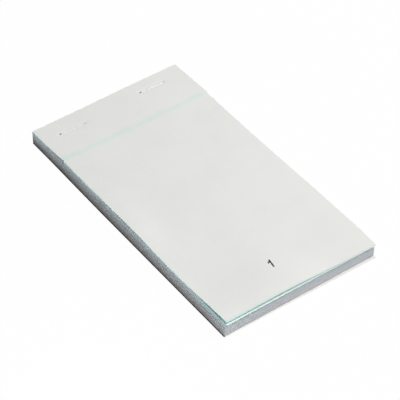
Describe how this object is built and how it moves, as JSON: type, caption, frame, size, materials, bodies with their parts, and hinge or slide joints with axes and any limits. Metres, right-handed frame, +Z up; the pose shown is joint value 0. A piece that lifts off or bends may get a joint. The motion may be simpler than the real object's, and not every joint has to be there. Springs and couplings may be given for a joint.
{
  "type": "waiter pad",
  "caption": "Stapled pad of perforated carbonless duplicate slips on a greyboard back, with leaves that lift and turn over the stub.",
  "frame": {"origin": "under the middle of the pad, on the surface that the board lies on", "axes": "+Z up out of the writing face, +Y along the pad towards the stapled head, +X to the reader's right"},
  "size_m": [0.076, 0.14, 0.0068],
  "materials": {
    "top_paper": "uncoated white carbonless paper, matt, faintly blue-green along cut edges and the perforation",
    "duplicate_paper": "uncoated white carbonless paper, matt",
    "set_paper": "stacked white sheets with guillotined edges, matt, cool grey at the edges",
    "greyboard": "uncoated recycled greyboard, matt, with flecks of fibre",
    "staple_wire": "galvanised staple wire, dull bright"
  },
  "bodies": {
    "pad": {"back_board": "greyboard", "set_50": "set_paper", "set_49": "set_paper", "set_48": "set_paper", "set_47": "set_paper", "set_46": "set_paper", "set_45": "set_paper", "set_44": "set_paper", "set_43": "set_paper", "set_42": "set_paper", "set_41": "set_paper", "set_40": "set_paper", "set_39": "set_paper", "set_38": "set_paper", "set_37": "set_paper", "set_36": "set_paper", "set_35": "set_paper", "set_34": "set_paper", "set_33": "set_paper", "set_32": "set_paper", "set_31": "set_paper", "set_30": "set_paper", "set_29": "set_paper", "set_28": "set_paper", "set_27": "set_paper", "set_26": "set_paper", "set_25": "set_paper", "set_24": "set_paper", "set_23": "set_paper", "set_22": "set_paper", "set_21": "set_paper", "set_20": "set_paper", "set_19": "set_paper", "set_18": "set_paper", "set_17": "set_paper", "set_16": "set_paper", "set_15": "set_paper", "set_14": "set_paper", "set_13": "set_paper", "set_12": "set_paper", "set_11": "set_paper", "set_10": "set_paper", "set_09": "set_paper", "set_08": "set_paper", "set_07": "set_paper", "set_06": "set_paper", "set_05": "set_paper", "set_04": "set_paper", "set_03": "set_paper", "duplicate_02_stub": "duplicate_paper", "top_copy_02_stub": "top_paper", "duplicate_01_stub": "duplicate_paper", "top_copy_01_stub": "top_paper", "staple_left": "staple_wire", "staple_right": "staple_wire"},
    "duplicate_02": {"duplicate_02_slip": "duplicate_paper"},
    "top_copy_02": {"top_copy_02_slip": "top_paper"},
    "duplicate_01": {"duplicate_01_slip": "duplicate_paper"},
    "top_copy_01": {"top_copy_01_slip": "top_paper"}
  },
  "joints": [
    {"name": "duplicate_02_turn", "type": "hinge", "parent": "pad", "child": "duplicate_02", "pos_m": [0, 0.0468, 0.00681], "axis": [-1, 0, 0], "range_deg": [0, 180]},
    {"name": "top_copy_02_turn", "type": "hinge", "parent": "duplicate_02", "child": "top_copy_02", "pos_m": [0, 0.0468, 0.00681], "axis": [-1, 0, 0], "range_deg": [0, 180]},
    {"name": "duplicate_01_turn", "type": "hinge", "parent": "top_copy_02", "child": "duplicate_01", "pos_m": [0, 0.0468, 0.00681], "axis": [-1, 0, 0], "range_deg": [0, 180]},
    {"name": "top_copy_01_turn", "type": "hinge", "parent": "duplicate_01", "child": "top_copy_01", "pos_m": [0, 0.0468, 0.00681], "axis": [-1, 0, 0], "range_deg": [0, 180]}
  ]
}
